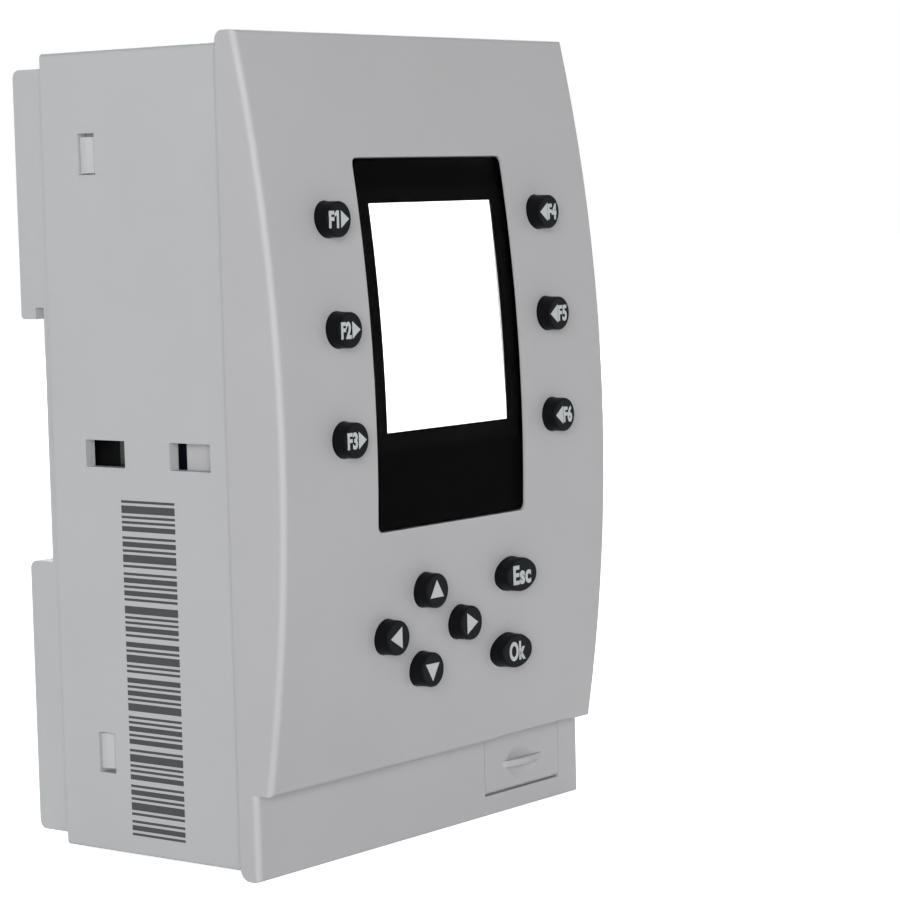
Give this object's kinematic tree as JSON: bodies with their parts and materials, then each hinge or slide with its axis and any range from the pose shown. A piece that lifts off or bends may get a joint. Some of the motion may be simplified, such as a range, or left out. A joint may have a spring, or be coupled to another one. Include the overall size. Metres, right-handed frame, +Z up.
{
  "type": "programmable logic relay",
  "caption": "Rail-mounted logic relay with a curved front cover, display window, press keys, hinged port flap and a sprung rail clip.",
  "frame": {"origin": "bottom centre of the whole part's box, midway between the keys' faces and the rail blocks' rear faces", "axes": "+Z up along the tall side, -Y out of the keypad face, +Y towards the rail, +X to the viewer's right"},
  "size_m": [0.074, 0.0526, 0.1145],
  "materials": {
    "cover": "fine moulded texture",
    "housing": "fine moulded texture",
    "key": "satin",
    "lens": "smooth",
    "mask": "satin ink",
    "screen": "lit white",
    "tray": "satin",
    "print": "printed ink",
    "board": "dark solder mask",
    "black_plastic": "satin",
    "relay_case": "satin",
    "terminal": "satin",
    "zinc": "plated",
    "steel": "bright",
    "tin": "tinned",
    "gold": "plated",
    "sleeve_foil": "shrink film",
    "ferrite": "dull",
    "winding": "tape"
  },
  "bodies": {
    "housing": {"front_cover": "cover", "main_housing": "housing", "rear_housing": "housing", "display_lens": "lens", "display_mask": "mask", "screen_module": "screen", "screen_holder": "tray", "front_board": "board", "main_board": "board", "key_switches": "black_plastic", "port_jack": "black_plastic", "link_socket": "black_plastic", "optocouplers": "black_plastic", "controller_chip": "black_plastic", "supply_module": "black_plastic", "front_board_screws": "zinc", "main_board_screws": "zinc", "plug_screws_top": "zinc", "plug_screws_bottom": "zinc", "port_contacts": "gold", "link_header": "gold", "header_pins_top": "tin", "header_pins_bottom": "tin", "header_top": "terminal", "header_bottom": "terminal", "plug_top": "terminal", "plug_bottom": "terminal", "capacitors": "sleeve_foil", "transformer_core": "ferrite", "transformer_coil": "winding", "relay_1": "relay_case", "relay_2": "relay_case", "relay_3": "relay_case", "relay_4": "relay_case", "relay_5": "relay_case", "relay_6": "relay_case", "relay_7": "relay_case", "relay_8": "relay_case"},
    "key_f1_body": {"key_f1": "key"},
    "key_f2_body": {"key_f2": "key"},
    "key_f3_body": {"key_f3": "key"},
    "key_f4_body": {"key_f4": "key"},
    "key_f5_body": {"key_f5": "key"},
    "key_f6_body": {"key_f6": "key"},
    "key_up_body": {"key_up": "key"},
    "key_left_body": {"key_left": "key"},
    "key_right_body": {"key_right": "key"},
    "key_down_body": {"key_down": "key"},
    "key_esc_body": {"key_esc": "key"},
    "key_ok_body": {"key_ok": "key"},
    "port_flap": {"port_cover": "cover"},
    "clip": {"rail_clip": "black_plastic", "clip_spring": "steel"}
  },
  "joints": [
    {"name": "key_f1_press", "type": "slide", "parent": "housing", "child": "key_f1_body", "axis": [0, 1, 0], "range_m": [0, 0.0005], "stiffness_N_per_m": 400, "springref_m": -0.0005},
    {"name": "key_f2_press", "type": "slide", "parent": "housing", "child": "key_f2_body", "axis": [0, 1, 0], "range_m": [0, 0.0005], "stiffness_N_per_m": 400, "springref_m": -0.0005},
    {"name": "key_f3_press", "type": "slide", "parent": "housing", "child": "key_f3_body", "axis": [0, 1, 0], "range_m": [0, 0.0005], "stiffness_N_per_m": 400, "springref_m": -0.0005},
    {"name": "key_f4_press", "type": "slide", "parent": "housing", "child": "key_f4_body", "axis": [0, 1, 0], "range_m": [0, 0.0005], "stiffness_N_per_m": 400, "springref_m": -0.0005},
    {"name": "key_f5_press", "type": "slide", "parent": "housing", "child": "key_f5_body", "axis": [0, 1, 0], "range_m": [0, 0.0005], "stiffness_N_per_m": 400, "springref_m": -0.0005},
    {"name": "key_f6_press", "type": "slide", "parent": "housing", "child": "key_f6_body", "axis": [0, 1, 0], "range_m": [0, 0.0005], "stiffness_N_per_m": 400, "springref_m": -0.0005},
    {"name": "key_up_press", "type": "slide", "parent": "housing", "child": "key_up_body", "axis": [0, 1, 0], "range_m": [0, 0.0005], "stiffness_N_per_m": 400, "springref_m": -0.0005},
    {"name": "key_left_press", "type": "slide", "parent": "housing", "child": "key_left_body", "axis": [0, 1, 0], "range_m": [0, 0.0005], "stiffness_N_per_m": 400, "springref_m": -0.0005},
    {"name": "key_right_press", "type": "slide", "parent": "housing", "child": "key_right_body", "axis": [0, 1, 0], "range_m": [0, 0.0005], "stiffness_N_per_m": 400, "springref_m": -0.0005},
    {"name": "key_down_press", "type": "slide", "parent": "housing", "child": "key_down_body", "axis": [0, 1, 0], "range_m": [0, 0.0005], "stiffness_N_per_m": 400, "springref_m": -0.0005},
    {"name": "key_esc_press", "type": "slide", "parent": "housing", "child": "key_esc_body", "axis": [0, 1, 0], "range_m": [0, 0.0005], "stiffness_N_per_m": 400, "springref_m": -0.0005},
    {"name": "key_ok_press", "type": "slide", "parent": "housing", "child": "key_ok_body", "axis": [0, 1, 0], "range_m": [0, 0.0005], "stiffness_N_per_m": 400, "springref_m": -0.0005},
    {"name": "port_hinge", "type": "hinge", "parent": "housing", "child": "port_flap", "pos_m": [0.0226, -0.01658, 0.00405], "axis": [1, 0, 0], "range_deg": [0, 90]},
    {"name": "clip_slide", "type": "slide", "parent": "housing", "child": "clip", "axis": [0, 0, -1], "range_m": [0, 0.0035], "stiffness_N_per_m": 600, "springref_m": -0.002, "deforming": ["clip_spring"]}
  ]
}
